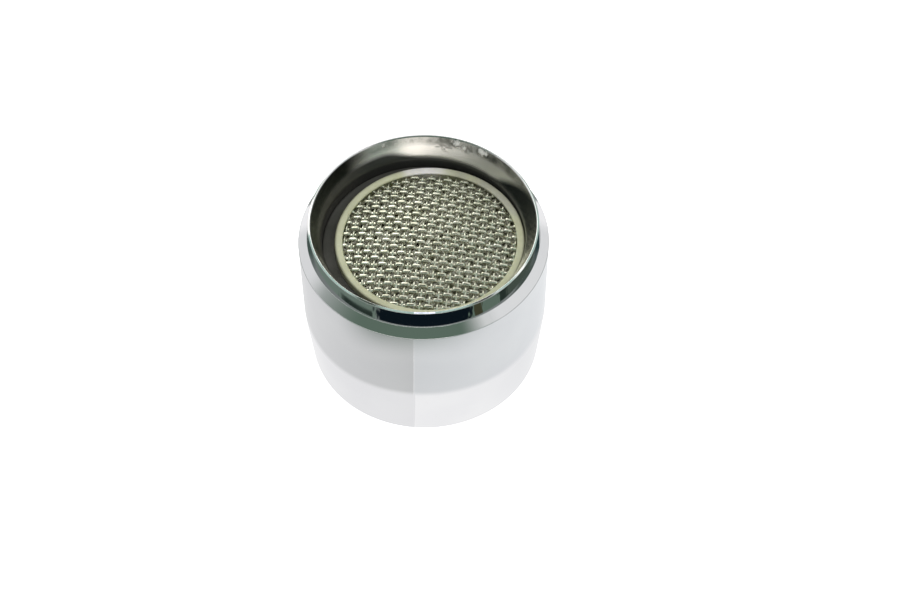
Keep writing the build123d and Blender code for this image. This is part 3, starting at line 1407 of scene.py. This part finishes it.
def table_cards() -> tuple[StudioCard, ...]:
    """Lists the cards that lie on the table.

    Returns:
        The cards, of which a higher one hides a lower one.
    """
    table = CardPlace.TABLE
    near = {"forward": 2.27, "soft_ends": (0.002, 0.002), "soft_edges": (0.06, 0.06)}
    wide = {"forward": 3.7}
    far = wide | {"soft_edges": (0.05, 0.1), "lift": 0.07}
    foot = wide | {"soft_edges": (0.18, 0.16)}
    return (
        StudioCard("near_left", table, (0.95, 0.95, 0.955), (-170.0, -8.0), (2.0, 14.6),
                   end_tone=(0.89, 0.89, 0.895), lift=0.03, **near),
        StudioCard("near_right", table, (0.96, 0.965, 0.97), (34.0, 170.0), (2.0, 14.6),
                   end_tone=(0.84, 0.845, 0.85), lift=0.03, **(near | {"soft_ends": (0.3, 0.002)})),
        StudioCard("table_left", table, (0.86, 0.86, 0.87), (-170.0, -9.0), (13.9, 25.0),
                   end_tone=(0.62, 0.63, 0.625), **near),
        StudioCard("table_right", table, (0.73, 0.75, 0.755), (-9.05, 170.0), (13.9, 25.0),
                   end_tone=(0.93, 0.95, 0.965), **near),
        StudioCard("table_shade", table, GREY_GREEN, (-80.0, 70.0), (16.8, 22.8),
                   soft_ends=(0.3, 0.62), soft_edges=(0.95, 0.0), lift=0.06, **wide),
        StudioCard("wide_table", table, SIDE_GREY, (-180.0, 180.0), (21.3, 170.0),
                   soft_ends=(0.0, 0.0), soft_edges=(0.012, 0.3), lift=0.065, **wide),
        StudioCard("far_left", table, POND, (-136.0, -98.0), (55.0, 900.0), soft_ends=(0.3, 0.5), **far),
        StudioCard("far_right", table, TEAL, (98.0, 136.0), (55.0, 900.0), soft_ends=(0.5, 0.3), **far),
        StudioCard("dark_far", table, MOSS, (60.0, 116.0), (46.0, 260.0),
                   soft_ends=(0.15, 0.35), soft_edges=(0.05, 0.4), lift=0.068, **wide),
        StudioCard("green_left", table, SAGE, (-128.0, -38.0), (20.6, 44.0), end_tone=MEADOW,
                   soft_ends=(0.06, 0.08), soft_edges=(0.06, 0.5), lift=0.08, **wide),
        StudioCard("dark_front", table, NIGHT, (-46.0, 42.0), (20.6, 28.4),
                   soft_ends=(0.08, 0.05), lift=0.1, ragged=0.32, **foot),
        StudioCard("streak_left", table, STREAK, (-82.0, -45.0), (24.3, 26.0),
                   soft_ends=(0.3, 0.06), soft_edges=(0.05, 0.28), lift=0.105, ragged=0.35, **wide),
        StudioCard("green_right", table, GREY_GREEN, (34.0, 72.0), (20.6, 28.4),
                   soft_ends=(0.02, 0.1), lift=0.085, ragged=0.3, **foot),
        StudioCard("notch_right", table, STREAK, (65.0, 78.0), (22.0, 28.4),
                   soft_ends=(0.2, 0.3), lift=0.09, ragged=0.9, **foot),
        StudioCard("brown_right", table, BROWN, (42.5, 51.0), (22.0, 28.4),
                   soft_ends=(0.2, 0.2), lift=0.12, ragged=1.0, **foot),
        StudioCard("dark_right", table, DEEP_GREEN, (62.0, 138.0), (20.9, 44.0),
                   soft_ends=(0.03, 0.35), soft_edges=(0.02, 0.5), lift=0.075, ragged=0.1, **wide),
        StudioCard("streak_right", table, NIGHT, (66.0, 104.0), (22.6, 25.0),
                   soft_ends=(0.3, 0.3), soft_edges=(0.3, 0.3), lift=0.11, ragged=0.1, **wide),
    )


def studio_lamps() -> tuple[SoftLamp, ...]:
    """Lists the soft boxes.

    Returns:
        The lamps.
    """
    return (
        SoftLamp("back_softbox", azimuth=199.0, elevation=42.0, distance=320.0, size=(165.0, 160.0),
                 brightness=2.0, tint=(1.0, 0.98, 0.92)),
        SoftLamp("top_lamp", azimuth=-1.0, elevation=78.0, distance=400.0, size=(66.0, 50.0),
                 brightness=1.25, tint=(0.84, 0.72, 1.0)),
        SoftLamp("top_fill", azimuth=20.0, elevation=72.0, distance=500.0, size=(320.0, 320.0),
                 brightness=0.85, reflected=False),
    )


def plastic_insert() -> Insert:
    """Puts the insert together with its finishes.

    Returns:
        The insert, still to be built.
    """
    warp = WireGauge(Strand.WARP, pitch=0.82, width=0.24, height=0.22, crimp=0.11,
                     squareness=2.0, press=0.8, sides=6, stations=5)
    weft = WireGauge(Strand.WEFT, pitch=0.71, width=0.30, height=0.22, crimp=0.11,
                     squareness=2.4, press=1.4, sides=8, stations=6)
    light_and_shade_patches = (
        # Painted shade: a greyer patch over the ring's right back.
        ((0.44, 0.44, 0.35), (6.2, 6.8, 15.4, 6.2)),
        # Painted highlight: a near-white patch on the ring's back.
        ((0.98, 0.95, 0.91), (0.6, 9.2, 15.4, 3.1)),
    )
    # Painted shade: the dark tone of the fill in the gap.
    gap_fill = Moulding(Slot.CREAM, (0.085, 0.084, 0.072), (0.06, 0.06, 0.05), gloss=(0.7, 0.9),
                    grain_scale=1500.0, grain_depth=0.02)
    return Insert(
        cream=Moulding(Slot.CREAM, (0.635, 0.66, 0.44), (0.555, 0.575, 0.365), gloss=(0.20, 0.32),
                       grain_scale=2600.0, grain_depth=0.004, glow=0.15,
                       # Painted shade in the gap and on the outer edge, and patches of painted light on the
                       # ring.
                       gap_shade=(0.065, 0.063, 0.054), light_and_shade_patches=light_and_shade_patches),
        white=Moulding(Slot.WHITE, (0.80, 0.80, 0.77), (0.74, 0.74, 0.70), gloss=(0.35, 0.5),
                       grain_scale=2200.0, grain_depth=0.006, glow=0.1),
        wire=DrawnWire(),
        # Painted light: a lighter, less metallic copy of the wire for the lower screens, seen in the shaded
        # gaps.
        lightened_wire=DrawnWire(tint=(0.92, 0.91, 0.80), shade=(0.80, 0.79, 0.68), metal=(0.45, 0.15)),
        screens=(
            WovenScreen("outlet_screen", turn=-8.0, seed=1),
            WovenScreen("middle_screen", turn=40.0, seed=2, warp=warp, weft=weft),
            WovenScreen("inner_screen", turn=17.0, seed=3, warp=warp, weft=weft),
        ),
        gap_fill=GapShadeFill(gap_fill),
    )


def main() -> None:
    """Builds the part and its studio, piece by piece."""
    logging.basicConfig(level=logging.INFO, format="%(message)s")
    rubber = Moulding(Slot.RUBBER, (0.026, 0.026, 0.027), (0.04, 0.04, 0.04), gloss=(0.5, 0.7),
                      grain_scale=1500.0, grain_depth=0.02)
    Housing(ChromePlate()).build()
    plastic_insert().build()
    Washer(rubber).build()
    Studio(sky_cards() + table_cards(), studio_lamps(), PhotoCamera()).build()


if __name__ == "__main__":
    main()
